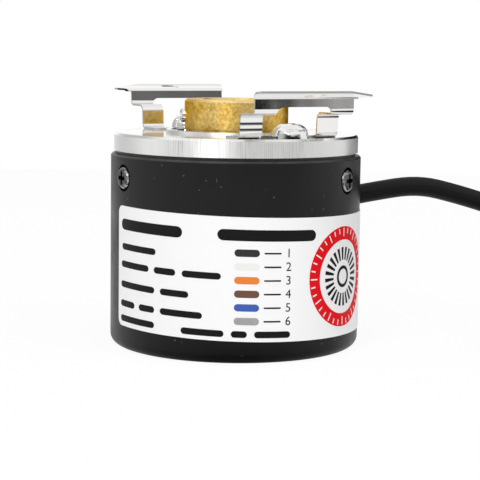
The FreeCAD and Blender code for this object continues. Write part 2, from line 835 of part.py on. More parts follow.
def coil_ties():
    ties = []
    inner = coil_mean_radius - coil_half_band - tie_thickness
    outer = coil_mean_radius + coil_half_band + tie_thickness
    top = coil_top + tie_thickness
    for azimuth in tie_azimuths:
        corners = ((inner, 0), (outer, 0), (outer, top), (inner, top))
        points = [Vec(r, -tie_width / 2, z) for r, z in corners]
        wire = Part.Wire(rounded_edges(points, [tie_corner] * 4, closed=True))
        band = Part.Face(wire).extrude(Vec(0, tie_width, 0))
        ties.append(at_azimuth(band, azimuth).translated(coil_centre))
    coil = cable_coil()
    return Part.Compound([tie.cut(coil) for tie in ties])


def cable(coil):
    points = [exit_point(jacket_end), exit_point(exit_run)] + [Vec(*p) for p in cable_route]
    tube = tube_along(points, cable_radius)
    report_cord("cable", points, tube)
    return tube.cut(coil)


def report_cord(name, points, tube):
    radii = [round(r, 1) for r in cord_radii(points)[1:-1]]
    length = Part.Wire(rounded_edges(points, cord_radii(points))).Length
    expected = math.pi * cable_radius ** 2 * length
    ratio = round(tube.Volume / expected, 4)
    print(name, "radii", radii, "length", round(length, 1), "volume ratio", ratio)


def tail_points():
    """The tail leaves the coil's outer turn along its tangent and lies on the floor."""
    turn = math.radians(tail_azimuth)
    along = Vec(math.sin(turn), -math.cos(turn), 0)
    aside = Vec(math.cos(turn), math.sin(turn), 0)
    outer_turn = coil_mean_radius + coil_half_band - cable_radius
    start = coil_centre + aside * outer_turn + UP * (coil_bottom + cable_radius)
    middle = start + along * (tail_length / 2) + aside * tail_sway - UP * coil_bottom
    end = start + along * tail_length - UP * coil_bottom
    return [start, middle, end]


def cable_tail(coil):
    points = tail_points()
    tube = tube_along(points, cable_radius)
    report_cord("cable_tail", points, tube)
    return tube.cut(coil)


def lead_points(index):
    """One core's route from the jacket's end, fanned out and down to the floor."""
    start = tail_points()[-1]
    along = (start - tail_points()[-2]).normalize()
    aside = Vec(-along.y, along.x, 0)
    turn = 2 * math.pi * index / len(lead_slots)
    across = lead_circle * math.cos(turn)
    rise = lead_circle * math.sin(turn)
    slot = lead_slots[index] * lead_spread
    points = []
    for step, (spread, drop) in enumerate(lead_fan):
        side = across + (slot - across) * spread
        height = start.z + rise + (lead_radius - start.z - rise) * drop
        points.append(start + along * (lead_run * step) + aside * side + UP * (height - start.z))
    return points


def lead(index):
    return tube_along(lead_points(index), lead_radius)


def lead_tips():
    tips = []
    for index in range(len(lead_colours)):
        points = lead_points(index)
        tips.append(Part.makeCylinder(tip_radius, tip_length, points[-1], points[-1] - points[-2]))
    return Part.Compound(tips)


def pieces():
    coil = cable_coil()
    nodes = {
        "rear_cover": rear_cover(),
        "side_label": side_label(),
        "cover_screws": cover_screws(),
        "front_flange": front_flange(),
        "hollow_shaft": hollow_shaft(),
        "set_screws": set_screws(),
        "inner_spacer": sleeve(bearing_bore_radius, spacer_radius, rear_bearing_top, front_bearing_bottom),
        "wave_washer": wave_washer(),
        "retaining_ring": retaining_ring(),
        "disc_hub": disc_hub(),
        "disc_hub_screw": disc_hub_screw(),
        "code_disc": code_disc(),
        "disc_retainer": disc_retainer(),
        "pcb": pcb(),
        "pcb_standoffs": pcb_standoffs(),
        "pcb_screws": pcb_screws(),
        "pcb_components": pcb_components(),
        "capacitors": capacitors(),
        "connector": connector(),
        "led_holder": led_holder(),
        "led": led(),
        "photodetector": photodetector(),
        "phase_mask": phase_mask(),
        "rear_seal": rear_seal(),
        "cable_grommet": cable_grommet(),
        "strain_collar": strain_collar(),
        "inner_wires": inner_wires(),
        "bracket_screws": bracket_screws(),
        "cable": cable(coil),
        "cable_coil": coil,
        "coil_ties": coil_ties(),
        "cable_tail": cable_tail(coil),
        "lead_tips": lead_tips(),
    }
    for name, bottom in (("front", front_bearing_bottom), ("rear", rear_bearing_bottom)):
        nodes[name + "_inner_ring"] = inner_ring(bottom)
        nodes[name + "_outer_ring"] = outer_ring(bottom)
        nodes[name + "_balls"] = balls(bottom)
        nodes[name + "_ball_cage"] = ball_cage(bottom)
    for name in arm_azimuths:
        nodes[name] = bracket(name)
    for index, colour in enumerate(lead_colours):
        nodes["lead_" + colour] = lead(index)
    return nodes


def main():
    os.makedirs("parts", exist_ok=True)
    for name, shape in pieces().items():
        if not shape.isValid() or shape.Volume <= 0:
            print("not a sound solid:", name, shape.Volume)
        shape.exportStep(os.path.join("parts", name + ".step"))


main()
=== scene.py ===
"""Looks of a hollow shaft rotary encoder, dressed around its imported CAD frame.

Metres. The frame's origin is on the shaft axis at the cover's underside, +Z runs along the shaft,
and the photograph looks along +Y. Azimuths are degrees about +Z, counted from +X.
"""
import json
import math

import bpy
import numpy as np
from mathutils import Matrix, Vector


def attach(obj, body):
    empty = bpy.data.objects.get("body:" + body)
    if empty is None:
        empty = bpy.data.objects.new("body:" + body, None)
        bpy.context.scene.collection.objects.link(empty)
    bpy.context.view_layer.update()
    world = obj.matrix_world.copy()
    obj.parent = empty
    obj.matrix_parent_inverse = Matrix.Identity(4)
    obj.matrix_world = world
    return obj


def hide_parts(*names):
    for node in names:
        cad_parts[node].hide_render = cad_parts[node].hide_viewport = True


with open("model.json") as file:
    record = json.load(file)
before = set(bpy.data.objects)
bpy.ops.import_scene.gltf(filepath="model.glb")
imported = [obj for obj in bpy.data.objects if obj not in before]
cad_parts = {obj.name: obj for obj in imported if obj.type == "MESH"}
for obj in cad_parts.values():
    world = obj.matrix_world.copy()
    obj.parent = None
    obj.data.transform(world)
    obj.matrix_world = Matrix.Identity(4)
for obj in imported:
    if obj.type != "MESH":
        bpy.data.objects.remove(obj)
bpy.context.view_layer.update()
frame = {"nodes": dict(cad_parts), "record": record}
nodes = frame["nodes"]

MM = 0.001

# Camera, as fitted to the photograph's outline of the body
CAMERA_PLACE = (0.0, -0.246784, 0.046799)
CAMERA_PITCH = 0.1223
CAMERA_YAW = 0.0034
CAMERA_ROLL = 0.0135
CAMERA_LENS = 115.385
CAMERA_SENSOR = 36.0

# Stage. A ramp is where a light or a shade starts and ends, along an axis or by distance.
FLOOR_RADIUS = 0.36
FLOOR_MIDDLE = 0.001
FLOOR_COLUMNS = 96
FLOOR_COLOUR = (0.90, 0.90, 0.90)
FLOOR_GLOW = 0.93
FLOOR_MIRRORED_GLOW = 0.7
FOOT_SHADE_PLACE = (0.0, -0.020, 0.0)
FOOT_SHADE_RAMP = (0.003, 0.028)
FOOT_SHADE = 0.25
ROOM_LIGHT = 0.51
STUDIO_DARK = 0.01
SIDE_LIGHTS = ((0.40, (-0.484, -0.438)), (0.52, (-0.43, -0.25)))  # strength and ramp
LEFT_LIGHT = 0.55
ZENITH_LIGHT = 0.42
CEILING_RAMP = (0.0, 0.50)
ZENITH_RAMP = (0.86, 0.98)
BACK_LIGHT = 1.0
BACK_RAMP = (0.55, 0.90)
LEFT_RAMP = (-0.80, -0.35)
FLAG_TOP_RAMP = (0.5, 0.8)
FLAGS = (  # azimuth, half widths of the core and of the whole, and the share of light that the core lets by
    (60.0, 18.0, 25.0, 0.0),
    (142.0, 14.0, 34.0, 0.52),
)
LAMP_TARGET = (0.0, 0.0, 0.02)
LAMPS = (  # name, place, side, power, and whether metal mirrors it
    ("key_lamp", (-0.26, -0.55, 0.48), 0.28, 2.27, True),
    ("top_lamp", (0.10, -0.20, 0.90), 0.60, 2.0, False),
    ("fill_lamp", (0.50, -0.29, 0.42), 0.30, 0.9, False),
)

# Finishes in general: where most of a noise lies, the depth of fine grain, and a Mix node's colour sockets
NOISE_MIDDLE = (0.3, 0.7)
GRAIN_DEPTH = 0.03 * MM
MIX_FACTOR, MIX_FIRST, MIX_SECOND, MIX_RESULT = 0, 6, 7, 2

# Cover: heights of the painted shade that darkens it towards its foot and of the painted highlight on its
# upper rim, and the lie of its scratches
COVER_PAINTED_SHADE = (0.0, 26.0 * MM)
COVER_RIM = (30.15 * MM, 30.4 * MM)
COVER_RIM_PAINTED_HIGHLIGHT = 0.85
SCRATCH_TURN = (0.5, 0.3, 0.0)
SCRATCH_STRETCH = (1.0, 1.0, 0.22)
SCRATCH_STRENGTH = 0.8

# Flange: how squarely a flat face faces up, and where the side's streaks, painted darker as reflections, fade
# in, by the sine of the azimuth
FLAT_FACE = 0.95
PAINTED_STREAK_STRETCH = (0.72, 0.92)

# Spring brackets: grooves across the legs by height, with bottoms painted dark as shade, and the ears by
# their reach from the shaft axis, with rims and cut faces dulled partly as painted shade along the outline
ARM_AZIMUTH = math.radians(-60.0)
BRACKET_ROUGHNESS = 0.07
EAR_DULL = ((1.0, (24.9 * MM, 25.5 * MM)), (-1.0, (23.9 * MM, 24.4 * MM)))  # side, and its rim's reach
EAR_INSIDE = 21.3 * MM
EAR_EDGE_FACING = 0.5
EAR_SHEARED = 0.55
EAR_HOLE_REACH = 23.0 * MM
EAR_HOLE_RADIUS = 2.0 * MM
LEG_GROOVES = (35.24 * MM, 36.14 * MM)
GROOVE_DEPTH = 0.040 * MM
GROOVE_HALF_WIDTH = 0.32 * MM
# grooves' bottoms painted dark as shade: the fade from a groove's middle, and the colour
GROOVE_BOTTOM = (0.06 * MM, 0.17 * MM)
GROOVE_PAINTED_SHADE = (0.08, 0.075, 0.07)

# Cover screws, by their height, and their rims by the distance from a screw's own axis, paled partly by
# rubbing and partly by a painted highlight
SCREW_COUNT = 3
SCREW_AZIMUTH = math.radians(90.0)
SCREW_HEIGHT = 27.1 * MM
SCREW_RIM = (1.2 * MM, 1.6 * MM)
SCREW_HEAD = 2.0 * MM

# Shaft: the bore's edge, inside which the brass is painted dark as shade, and how squarely its ends face up
# where they are smooth and where they are painted paler as a highlight
BORE_EDGE = (5.01 * MM, 5.04 * MM)
SMOOTH_END = (0.9, 1.0)
PAINTED_END_HIGHLIGHT = (0.45, 0.65)

# Cable, outside the cover
CABLE_RADIUS = 1.6 * MM
EXIT_AZIMUTH = 14.5
EXIT_TILT = 10.0
EXIT_HEIGHT = 23.55 * MM
EXIT_RADIUS = 20.0 * MM
JACKET_INSIDE = 3.85 * MM
EXIT_RUN = 3.5 * MM
CABLE_ROUTE = [
    (0.0302, 0.0078, 0.0252),
    (0.0368, 0.0095, 0.0236),
    (0.0444, 0.0116, 0.0212),
    (0.0524, 0.0139, 0.0180),
    (0.0606, 0.0161, 0.0146),
    (0.0690, 0.0172, 0.0114),
    (0.0768, 0.0154, 0.0086),
    (0.0830, 0.0108, 0.0066),
    (0.0874, 0.0044, 0.0053),
]

# Put-away coil: wound inwards on top, down at the middle, outwards below
COIL_CENTRE = (0.0665, -0.0070)
COIL_OUTER_TURN = 23.9 * MM
COIL_INNER_TURN = 11.0 * MM
COIL_TOP_HEIGHT = 5.3 * MM
COIL_LOW_HEIGHT = 2.1 * MM
COIL_START_AZIMUTH = 28.6
COIL_TURNS = 4
COIL_DROP_TURNS = 0.6
COIL_POINTS_PER_TURN = 16
TIE_AZIMUTHS = (-75.0, 135.0)
TIE_WIDTH = 3.0 * MM
TIE_SLACK = 0.03 * MM
TIE_THICKNESS = 0.45 * MM
TIE_EDGE = 0.12 * MM
TAIL_AZIMUTH = 15.0
TAIL_LENGTH = 22.0 * MM
TAIL_SWAY = 0.8 * MM
COIL_END = 2 * COIL_TURNS + (COIL_START_AZIMUTH - TAIL_AZIMUTH) / 360.0
TIE_STEPS = 96
TIE_COLUMNS = 5

# Flying leads at the tail's end
LEAD_COLOURS = {
    "black": (0.012, 0.012, 0.013),
    "white": (0.80, 0.80, 0.77),
    "orange": (0.78, 0.20, 0.02),
    "brown": (0.13, 0.055, 0.025),
    "blue": (0.03, 0.09, 0.42),
    "shield": (0.50, 0.50, 0.49),
}
LEAD_RADIUS = 0.42 * MM
LEAD_CIRCLE = 0.9 * MM
LEAD_SPREAD = 3.0 * MM
LEAD_SLOTS = (2.5, 1.5, -1.5, -2.5, -0.5, 0.5)  # place in the fan, in spreads from its middle
LEAD_RUN = 6.0 * MM
LEAD_FAN = ((0, 0), (0, 0), (0.3, 0.6), (0.62, 1), (1, 1))  # shares of the spread and the drop, step by step

# Label print, in arc length from the label's left edge and height above its lower edge
LABEL_RADIUS = 20.1 * MM
LABEL_LEFT = -153.9
LABEL_BOTTOM = 3.6 * MM
LABEL_TILT = 1.6
PRINT_LIFT = 0.02 * MM
PRINT_OVER_LIFT = 0.035 * MM
BAR_COLUMNS = 24
BAR_TIP = 0.02  # share of the height that is left at a bar's very ends
TITLE_BARS = ((1.2, 14.3, 15.95), (19.8, 35.6, 16.05))
TITLE_HALF_HEIGHT = 0.85
LINE_BARS = (
    (1.4, 9.6, 12.5),
    (1.2, 8.2, 9.75), (9.3, 13.2, 9.75), (14.3, 20.4, 9.75),
    (1.1, 9.4, 6.6), (10.5, 15.4, 6.6),
    (1.0, 5.0, 3.6), (6.1, 9.4, 3.6), (10.5, 17.6, 3.6),
    (1.0, 9.4, 1.25),
    (14.2, 20.9, 1.1), (22.0, 24.4, 1.1), (25.5, 31.2, 1.1),
)
LINE_HALF_HEIGHT = 0.5
CHIP_LEFT = 22.4
CHIP_RIGHT = 26.2
CHIP_TOP = 13.4
CHIP_PITCH = 2.06
CHIP_HALF_HEIGHT = 0.55
LEADER_LEFT = 26.9
LEADER_RIGHT = 29.6
LEADER_HALF_HEIGHT = 0.12
DIGIT_CENTRE = 30.8
DIGIT_SIZE = 1.9
DIAL_CENTRE = (42.3, 9.25)
DIAL_OUTER = 7.8
DIAL_INNER = 5.75
DIAL_COLUMNS = 144
DIAL_TICKS = 36
LONG_TICK_EVERY = 3
LONG_TICK_INSET = 0.5
SHORT_TICK_INSET = 1.0
TICK_RIM = 0.25
TICK_HALF_ANGLE = 0.8
TICK_COLUMNS = 3
RING_ROWS = 5
RING_COLUMNS = 96
DISC_SLOTS = 24
DISC_SLOT_RADII = (2.6, 4.6)
DISC_SLOT_COLUMNS = 4
DISC_HUB_RADII = (1.2, 1.7)


# Meshes

def grid_faces(rows, columns, wrap=False):
    """Quads between neighbouring points of a grid stored row after row; wrap joins the last column to the
    first."""
    across = columns if wrap else columns - 1
    i, j = np.meshgrid(np.arange(rows - 1), np.arange(across), indexing="ij")
    k = (j + 1) % columns
    row, next_row = i * columns, (i + 1) * columns
    return np.stack([row + j, row + k, next_row + k, next_row + j], -1).reshape(-1, 4)


def put_mesh(name, points, faces, finish):
    """A smooth mesh object from whole arrays of points and faces."""
    mesh = bpy.data.meshes.new(name)
    mesh.from_pydata(np.asarray(points, float).tolist(), [], np.asarray(faces).tolist())
    mesh.polygons.foreach_set("use_smooth", np.full(len(mesh.polygons), True))
    mesh.materials.append(finish)
    mesh.update()
    piece = bpy.data.objects.new(name, mesh)
    bpy.context.scene.collection.objects.link(piece)
    return piece


def join_grids(grids):
    """Stacks (points, faces) pairs into one pair, with each grid's faces moved past the points before it."""
    points, faces, count = [], [], 0
    for p, f in grids:
        points.append(p)
        faces.append(f + count)
        count += len(p)
    return np.concatenate(points), np.concatenate(faces)


# Finishes

def node(tree, kind, settings=None, **sockets):
    """A new shader node with its settings and its unlinked sockets filled in."""
    made = tree.nodes.new(kind)
    for key, value in (settings or {}).items():
        setattr(made, key, value)
    for key, value in sockets.items():
        made.inputs[key].default_value = value
    return made


def maths(tree, operation, *operands):
    """A Math node; each operand is a number or an output socket."""
    made = node(tree, "ShaderNodeMath", {"operation": operation})
    for socket, value in zip(made.inputs, operands):
        if isinstance(value, (int, float)):
            socket.default_value = value
        else:
            tree.links.new(value, socket)
    return made.outputs[0]


def spread(tree, factor, low, high, start=0.0, end=1.0, ease="LINEAR"):
    """Maps a factor from start..end to low..high, in a straight line or eased at both ends."""
    made = node(tree, "ShaderNodeMapRange", {"interpolation_type": ease},
                **{"From Min": start, "From Max": end, "To Min": low, "To Max": high})
    tree.links.new(factor, made.inputs["Value"])
    return made.outputs[0]


def noise(tree, vector, scale, detail=4.0, roughness=0.55):
    """Cloudy noise with some number of waves to the unit. Its values gather around a half."""
    made = node(tree, "ShaderNodeTexNoise", None, Scale=scale, Detail=detail, Roughness=roughness)
    tree.links.new(vector, made.inputs["Vector"])
    return made.outputs[0]


def mixed_colour(tree, factor, first, second):
    """A colour that runs from first to second with the factor; each is a colour or an output socket."""
    made = node(tree, "ShaderNodeMix", {"data_type": "RGBA"})
    tree.links.new(factor, made.inputs[MIX_FACTOR])
    for socket, colour in ((MIX_FIRST, first), (MIX_SECOND, second)):
        if isinstance(colour, tuple):
            made.inputs[socket].default_value = (*colour, 1.0)
        else:
            tree.links.new(colour, made.inputs[socket])
    return made.outputs[MIX_RESULT]


def raised(tree, surface, height, strength, distance):
    """Bump from a height onto the surface shader."""
    made = node(tree, "ShaderNodeBump", None, Strength=strength, Distance=distance)
    tree.links.new(height, made.inputs["Height"])
    tree.links.new(made.outputs[0], surface.inputs["Normal"])


def new_finish(name, colour, roughness, metallic=0.0, specular=0.5):
    """A material with its surface shader, and the object coordinates that its patterns read."""
    made = bpy.data.materials.new(name)
    made.use_nodes = True
    made.diffuse_color = (*colour, 1.0)
    tree = made.node_tree
    surface = tree.nodes["Principled BSDF"]
    surface.inputs["Base Color"].default_value = (*colour, 1.0)
    surface.inputs["Roughness"].default_value = roughness
    surface.inputs["Metallic"].default_value = metallic
    surface.inputs["Specular IOR Level"].default_value = specular
    place = node(tree, "ShaderNodeTexCoord").outputs["Object"]
    return made, tree, surface, place


def length_of(tree, first, second):
    """The length of a way from its two parts at right angles."""
    squares = (maths(tree, "MULTIPLY", part, part) for part in (first, second))
    return maths(tree, "SQRT", maths(tree, "ADD", *squares))


def about_axis(tree, place):
    """Azimuth, radius and height about the shaft axis."""
    split = node(tree, "ShaderNodeSeparateXYZ")
    tree.links.new(place, split.inputs[0])
    x, y, height = split.outputs
    return maths(tree, "ARCTAN2", y, x), length_of(tree, x, y), height


def round_place(tree, place, around, along):
    """Coordinates on a turned piece: azimuth times around, radius times along, height times along."""
    azimuth, radius, height = about_axis(tree, place)
    joined = node(tree, "ShaderNodeCombineXYZ")
    tree.links.new(maths(tree, "MULTIPLY", azimuth, around), joined.inputs[0])
    tree.links.new(maths(tree, "MULTIPLY", radius, along), joined.inputs[1])
    tree.links.new(maths(tree, "MULTIPLY", height, along), joined.inputs[2])
    return joined.outputs[0]


def facing_up(tree):
    """How far the surface faces along the shaft axis, from 0 on a side to 1 on an end."""
    split = node(tree, "ShaderNodeSeparateXYZ")
    tree.links.new(node(tree, "ShaderNodeNewGeometry").outputs["Normal"], split.inputs[0])
    return maths(tree, "ABSOLUTE", split.outputs[2])


def part_along(tree, place, way):
    """How far a place lies along a way, which is fixed or an output socket."""
    made = node(tree, "ShaderNodeVectorMath", {"operation": "DOT_PRODUCT"})
    tree.links.new(place, made.inputs[0])
    if isinstance(way, tuple):
        made.inputs[1].default_value = way
    else:
        tree.links.new(way, made.inputs[1])
    return made.outputs["Value"]


def flecks(tree, place, scale, share, start, end):
    """Rare round spots: 1 at the middle of a share of the cells, falling to 0 from start to end of a cell."""
    cells = node(tree, "ShaderNodeTexVoronoi", None, Scale=scale)
    tree.links.new(place, cells.inputs["Vector"])
    chosen = node(tree, "ShaderNodeSeparateColor")
    tree.links.new(cells.outputs["Color"], chosen.inputs[0])
    rare = maths(tree, "LESS_THAN", chosen.outputs[0], share)
    return maths(tree, "MULTIPLY", rare, spread(tree, cells.outputs["Distance"], 1.0, 0.0, start, end))


def moulded_black(name, colour, painted_shade_colour, speck):
    """Matt moulded plastic: fine grain, slow changes of gloss, a painted shade that darkens it towards its
    foot, dust specks and short scratches, and a painted highlight that makes its upper rim paler in broken
    patches."""
    made, tree, surface, place = new_finish(name, colour, roughness=0.36, specular=0.25)
    slanted = node(tree, "ShaderNodeMapping", None, Rotation=SCRATCH_TURN, Scale=SCRATCH_STRETCH)
    tree.links.new(place, slanted.inputs["Vector"])
    dust = flecks(tree, place, scale=900.0, share=0.17, start=0.04, end=0.15)
    scratches = flecks(tree, slanted.outputs[0], scale=1000.0, share=0.13, start=0.03, end=0.11)
    scratches = maths(tree, "MULTIPLY", scratches, SCRATCH_STRENGTH)
    height = about_axis(tree, place)[2]
    # painted highlight: the upper rim paler in broken patches
    rim = spread(tree, height, 0.0, COVER_RIM_PAINTED_HIGHLIGHT, *COVER_RIM)
    wear_and_painted_light = maths(tree, "MULTIPLY", rim, noise(tree, place, scale=420.0, detail=3.0))
    marks_and_painted_highlight = maths(tree, "MAXIMUM", maths(tree, "MAXIMUM", dust, scratches), wear_and_painted_light)
    # painted shade: the colour darker towards the foot
    skin = mixed_colour(tree, spread(tree, height, 0.0, 1.0, *COVER_PAINTED_SHADE), painted_shade_colour, colour)
    tree.links.new(mixed_colour(tree, marks_and_painted_highlight, skin, speck), surface.inputs["Base Color"])
    gloss = spread(tree, noise(tree, place, scale=260.0), 0.30, 0.42, *NOISE_MIDDLE)
    tree.links.new(gloss, surface.inputs["Roughness"])
    raised(tree, surface, noise(tree, place, scale=3600.0, detail=2.0), strength=0.25, distance=GRAIN_DEPTH)
    return made


def turned(tree, surface, amount):
    """Stretches a turned piece's highlights along its axis, across the rings that the tool left."""
    surface.inputs["Anisotropic"].default_value = amount
    surface.inputs["Anisotropic Rotation"].default_value = 0.25
    rings = node(tree, "ShaderNodeTangent", {"direction_type": "RADIAL", "axis": "Z"})
    tree.links.new(rings.outputs[0], surface.inputs["Tangent"])


def turned_aluminium(name):
    """Bright turned aluminium: a face with faint rings, and a side with fine streaks along the axis on two
    stretches, in front and behind, raised slightly and painted darker as reflections of the room."""
    bright, dull = (0.91, 0.91, 0.90), (0.52, 0.51, 0.49)
    made, tree, surface, place = new_finish(name, bright, roughness=0.3, metallic=1.0)
    turned(tree, surface, amount=0.85)
    face = facing_up(tree)
    side = maths(tree, "SUBTRACT", 1.0, face)
    rings = noise(tree, round_place(tree, place, around=0.0, along=2600.0), scale=1.0, roughness=0.7)
    rings = spread(tree, rings, 0.0, 0.42, start=0.42, end=0.66)
    rings = maths(tree, "MULTIPLY", rings, maths(tree, "GREATER_THAN", face, FLAT_FACE))
    azimuth = about_axis(tree, place)[0]
    stretch = spread(tree, maths(tree, "ABSOLUTE", maths(tree, "SINE", azimuth)), 0.0, 1.0, *PAINTED_STREAK_STRETCH)
    lines = round_place(tree, place, around=150.0, along=160.0)
    streaks = noise(tree, lines, scale=1.0, detail=3.0, roughness=0.65)
    patches = noise(tree, round_place(tree, place, around=9.0, along=60.0), scale=1.0, detail=2.0)
    # painted reflection: darker streaks in the colour of the side
    shade = maths(tree, "MULTIPLY", spread(tree, streaks, 0.0, 1.0, start=0.46, end=0.66),
                  spread(tree, patches, 0.2, 1.0, start=0.35, end=0.6))
    wear_and_painted_light = maths(tree, "MULTIPLY", maths(tree, "MULTIPLY", shade, side), stretch)
    wear_and_painted_light = maths(tree, "ADD", wear_and_painted_light, rings)
    tree.links.new(mixed_colour(tree, wear_and_painted_light, bright, dull), surface.inputs["Base Color"])
    face_roughness, side_more = 0.12, 0.30
    tree.links.new(maths(tree, "MULTIPLY_ADD", side, side_more, face_roughness), surface.inputs["Roughness"])
    raised(tree, surface, maths(tree, "MULTIPLY", streaks, stretch), strength=0.12, distance=0.04 * MM)
    return made


def turned_brass(name):
    """Turned brass: rings across the axis, a mottled skin of deep and pale patches, smooth ends whose faces
    and chamfers are painted paler as a highlight, and a bore painted dark as shade."""
    deep, pale = (0.58, 0.315, 0.018), (0.97, 0.73, 0.28)
    end_painted_highlight, bore_painted_shade = (0.97, 0.86, 0.56), (0.075, 0.042, 0.010)
    made, tree, surface, place = new_finish(name, (0.70, 0.43, 0.08), roughness=0.42, metallic=1.0)
    surface.inputs["Specular Tint"].default_value = (0.90, 0.62, 0.16, 1.0)
    turned(tree, surface, amount=0.6)
    mottle = noise(tree, place, scale=1700.0, detail=5.0, roughness=0.7)
    clouds = noise(tree, place, scale=180.0, detail=2.0)
    rings = noise(tree, round_place(tree, place, around=2.0, along=9000.0), scale=1.0, detail=3.0)
    blend = maths(tree, "ADD", maths(tree, "MULTIPLY", mottle, 0.6), maths(tree, "MULTIPLY", clouds, 0.4))
    skin = mixed_colour(tree, spread(tree, blend, 0.0, 1.0, start=0.40, end=0.62), deep, pale)
    upwards = facing_up(tree)
    # painted highlight: ends and chamfers paler
    skin_and_painted_highlight = mixed_colour(tree, spread(tree, upwards, 0.0, 0.45, *PAINTED_END_HIGHLIGHT), skin, end_painted_highlight)
    # painted shade: the bore dark inside
    inside = spread(tree, about_axis(tree, place)[1], 1.0, 0.0, *BORE_EDGE)
    tree.links.new(mixed_colour(tree, inside, skin_and_painted_highlight, bore_painted_shade), surface.inputs["Base Color"])
    smooth = spread(tree, upwards, 0.0, 0.16, *SMOOTH_END)
    rough = maths(tree, "SUBTRACT", spread(tree, blend, 0.36, 0.48, start=0.38, end=0.62), smooth)
    tree.links.new(rough, surface.inputs["Roughness"])
    raised(tree, surface, maths(tree, "ADD", mottle, rings), strength=0.18, distance=GRAIN_DEPTH)
    return made


def mirror_skin(tree, place, roughness, waves, depth):
    """Roughness and height of nearly a mirror: faint rolling lines, and waves of some number to the metre and
    a depth."""
    lines = noise(tree, place, scale=1500.0, detail=6.0, roughness=0.8)
    gloss = spread(tree, lines, roughness * 0.7, roughness * 1.6, *NOISE_MIDDLE)
    return gloss, maths(tree, "MULTIPLY", noise(tree, place, waves, detail=1.0), depth)


def bright_metal(name, colour, roughness, waves, depth):
    """Nearly a mirror, all over."""
    made, tree, surface, place = new_finish(name, colour, roughness, metallic=1.0)
    gloss, form = mirror_skin(tree, place, roughness, waves, depth)
    tree.links.new(gloss, surface.inputs["Roughness"])
    raised(tree, surface, form, strength=1.0, distance=1.0)
    return made


def bracket_sheet(name):
    """Bright spring sheet: shallow grooves that the forming tool pressed across one leg of each bracket, with
    bottoms painted dark as shade; dull rims along the ears' outer ends and rough sheared faces round the
    ears, dulled partly as the cut steel's own tone and partly as painted shade along the outline, but left
    bright inside their holes."""
    bright, dull = (0.86, 0.85, 0.835), (0.50, 0.49, 0.475)
    made, tree, surface, place = new_finish(name, bright, BRACKET_ROUGHNESS, metallic=1.0)
    gloss, form = mirror_skin(tree, place, BRACKET_ROUGHNESS, waves=130.0, depth=0.056 * MM)
    height = about_axis(tree, place)[2]
    east, north = math.cos(ARM_AZIMUTH), math.sin(ARM_AZIMUTH)
    reach = part_along(tree, place, (east, north, 0.0))
    across = part_along(tree, place, (-north, east, 0.0))

    normal = node(tree, "ShaderNodeNewGeometry").outputs["Normal"]
    outer_face = maths(tree, "GREATER_THAN", part_along(tree, place, normal), 0.0)
    pressed_leg = maths(tree, "LESS_THAN", maths(tree, "MULTIPLY", reach, across), 0.0)
    pressed = maths(tree, "MULTIPLY", outer_face, pressed_leg)
    # painted shade: the grooves' bottoms darkened
    groove_painted_shade = 0.0
    for level in LEG_GROOVES:
        off = maths(tree, "ABSOLUTE", maths(tree, "SUBTRACT", height, level))
        groove = spread(tree, off, GROOVE_DEPTH, 0.0, 0.0, GROOVE_HALF_WIDTH, ease="SMOOTHSTEP")
        form = maths(tree, "SUBTRACT", form, maths(tree, "MULTIPLY", groove, pressed))
        bottom = spread(tree, off, 1.0, 0.0, *GROOVE_BOTTOM)
        groove_painted_shade = maths(tree, "MAXIMUM", maths(tree, "MULTIPLY", bottom, pressed), groove_painted_shade)
    raised(tree, surface, form, strength=1.0, distance=1.0)

    distance = maths(tree, "ABSOLUTE", reach)
    in_ear = maths(tree, "GREATER_THAN", distance, EAR_INSIDE)
    cut_face = maths(tree, "MULTIPLY", in_ear, maths(tree, "LESS_THAN", facing_up(tree), EAR_EDGE_FACING))
    from_hole = length_of(tree, maths(tree, "SUBTRACT", distance, EAR_HOLE_REACH), across)
    # ears' rims and cut faces dulled outside the holes: partly the cut steel's own tone, partly painted shade
    # along the outline
    wear_and_painted_light = maths(tree, "MULTIPLY", cut_face, maths(tree, "GREATER_THAN", from_hole, EAR_HOLE_RADIUS))
    for side, rim in EAR_DULL:
        end = spread(tree, maths(tree, "MULTIPLY", reach, side), 0.0, 1.0, *rim)
        wear_and_painted_light = maths(tree, "MAXIMUM", wear_and_painted_light, end)
    skin = mixed_colour(tree, wear_and_painted_light, bright, dull)
    tree.links.new(mixed_colour(tree, groove_painted_shade, skin, GROOVE_PAINTED_SHADE), surface.inputs["Base Color"])
    sheared = maths(tree, "MULTIPLY", cut_face, EAR_SHEARED)
    tree.links.new(maths(tree, "ADD", gloss, sheared), surface.inputs["Roughness"])
    return made


